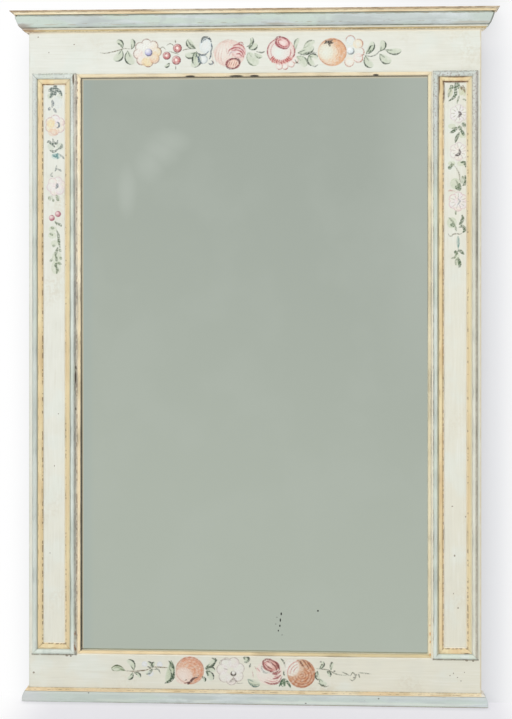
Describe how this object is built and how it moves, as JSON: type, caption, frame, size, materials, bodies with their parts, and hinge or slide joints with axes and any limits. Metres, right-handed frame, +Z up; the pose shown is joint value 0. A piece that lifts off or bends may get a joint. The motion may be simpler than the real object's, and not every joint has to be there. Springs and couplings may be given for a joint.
{
  "type": "overmantel mirror",
  "caption": "Tall wall mirror in a painted board frame with a moulded cornice, narrow side panels and a base moulding.",
  "frame": {"origin": "middle of the bottom edge of the back, where the wall meets the mantel shelf", "axes": "+X to the viewer's right, +Y back into the wall, +Z up; the mirror faces -Y"},
  "size_m": [0.853, 0.0545, 1.2141],
  "materials": {
    "cream_paint": "aged matt cream paint on softwood",
    "blue_paint": "aged blue-grey paint, worn on its arrises",
    "ochre_paint": "aged ochre yellow paint with a brown glaze in its hollows",
    "mirror": "flat silvered plate, a little foxed",
    "bare_wood": "unpainted aged softwood",
    "cork": "cork",
    "steel": "zinc-plated steel",
    "iron": "dull iron nail"
  },
  "bodies": {
    "root": {"backboard_1": "bare_wood", "backboard_2": "bare_wood", "backboard_3": "bare_wood", "backboard_nails": "iron", "base_bead_front": "ochre_paint", "base_bead_left": "ochre_paint", "base_bead_right": "ochre_paint", "base_moulding_front": "blue_paint", "base_moulding_left": "blue_paint", "base_moulding_right": "blue_paint", "bed_moulding_front": "ochre_paint", "bed_moulding_left": "ochre_paint", "bed_moulding_right": "ochre_paint", "bottom_rail": "cream_paint", "cap_board": "blue_paint", "cap_nails": "iron", "cornice_fillet_front": "ochre_paint", "cornice_fillet_left": "ochre_paint", "cornice_fillet_right": "ochre_paint", "crown_front": "blue_paint", "crown_left": "blue_paint", "crown_right": "blue_paint", "glazing_strip_bottom": "bare_wood", "glazing_strip_left": "bare_wood", "glazing_strip_right": "bare_wood", "glazing_strip_top": "bare_wood", "hanger_screws": "steel", "left_hanger": "steel", "left_panel_bead_bottom": "blue_paint", "left_panel_bead_left": "blue_paint", "left_panel_bead_right": "blue_paint", "left_panel_bead_top": "blue_paint", "left_panel_ovolo_bottom": "ochre_paint", "left_panel_ovolo_left": "ochre_paint", "left_panel_ovolo_right": "ochre_paint", "left_panel_ovolo_top": "ochre_paint", "left_stile": "cream_paint", "mirror_plate": "mirror", "right_hanger": "steel", "right_panel_bead_bottom": "blue_paint", "right_panel_bead_left": "blue_paint", "right_panel_bead_right": "blue_paint", "right_panel_bead_top": "blue_paint", "right_panel_ovolo_bottom": "ochre_paint", "right_panel_ovolo_left": "ochre_paint", "right_panel_ovolo_right": "ochre_paint", "right_panel_ovolo_top": "ochre_paint", "right_stile": "cream_paint", "setting_pads": "cork", "sight_slip_bottom": "ochre_paint", "sight_slip_left": "ochre_paint", "sight_slip_right": "ochre_paint", "sight_slip_top": "ochre_paint", "tenon_pegs": "bare_wood", "top_rail": "cream_paint"}
  },
  "joints": []
}
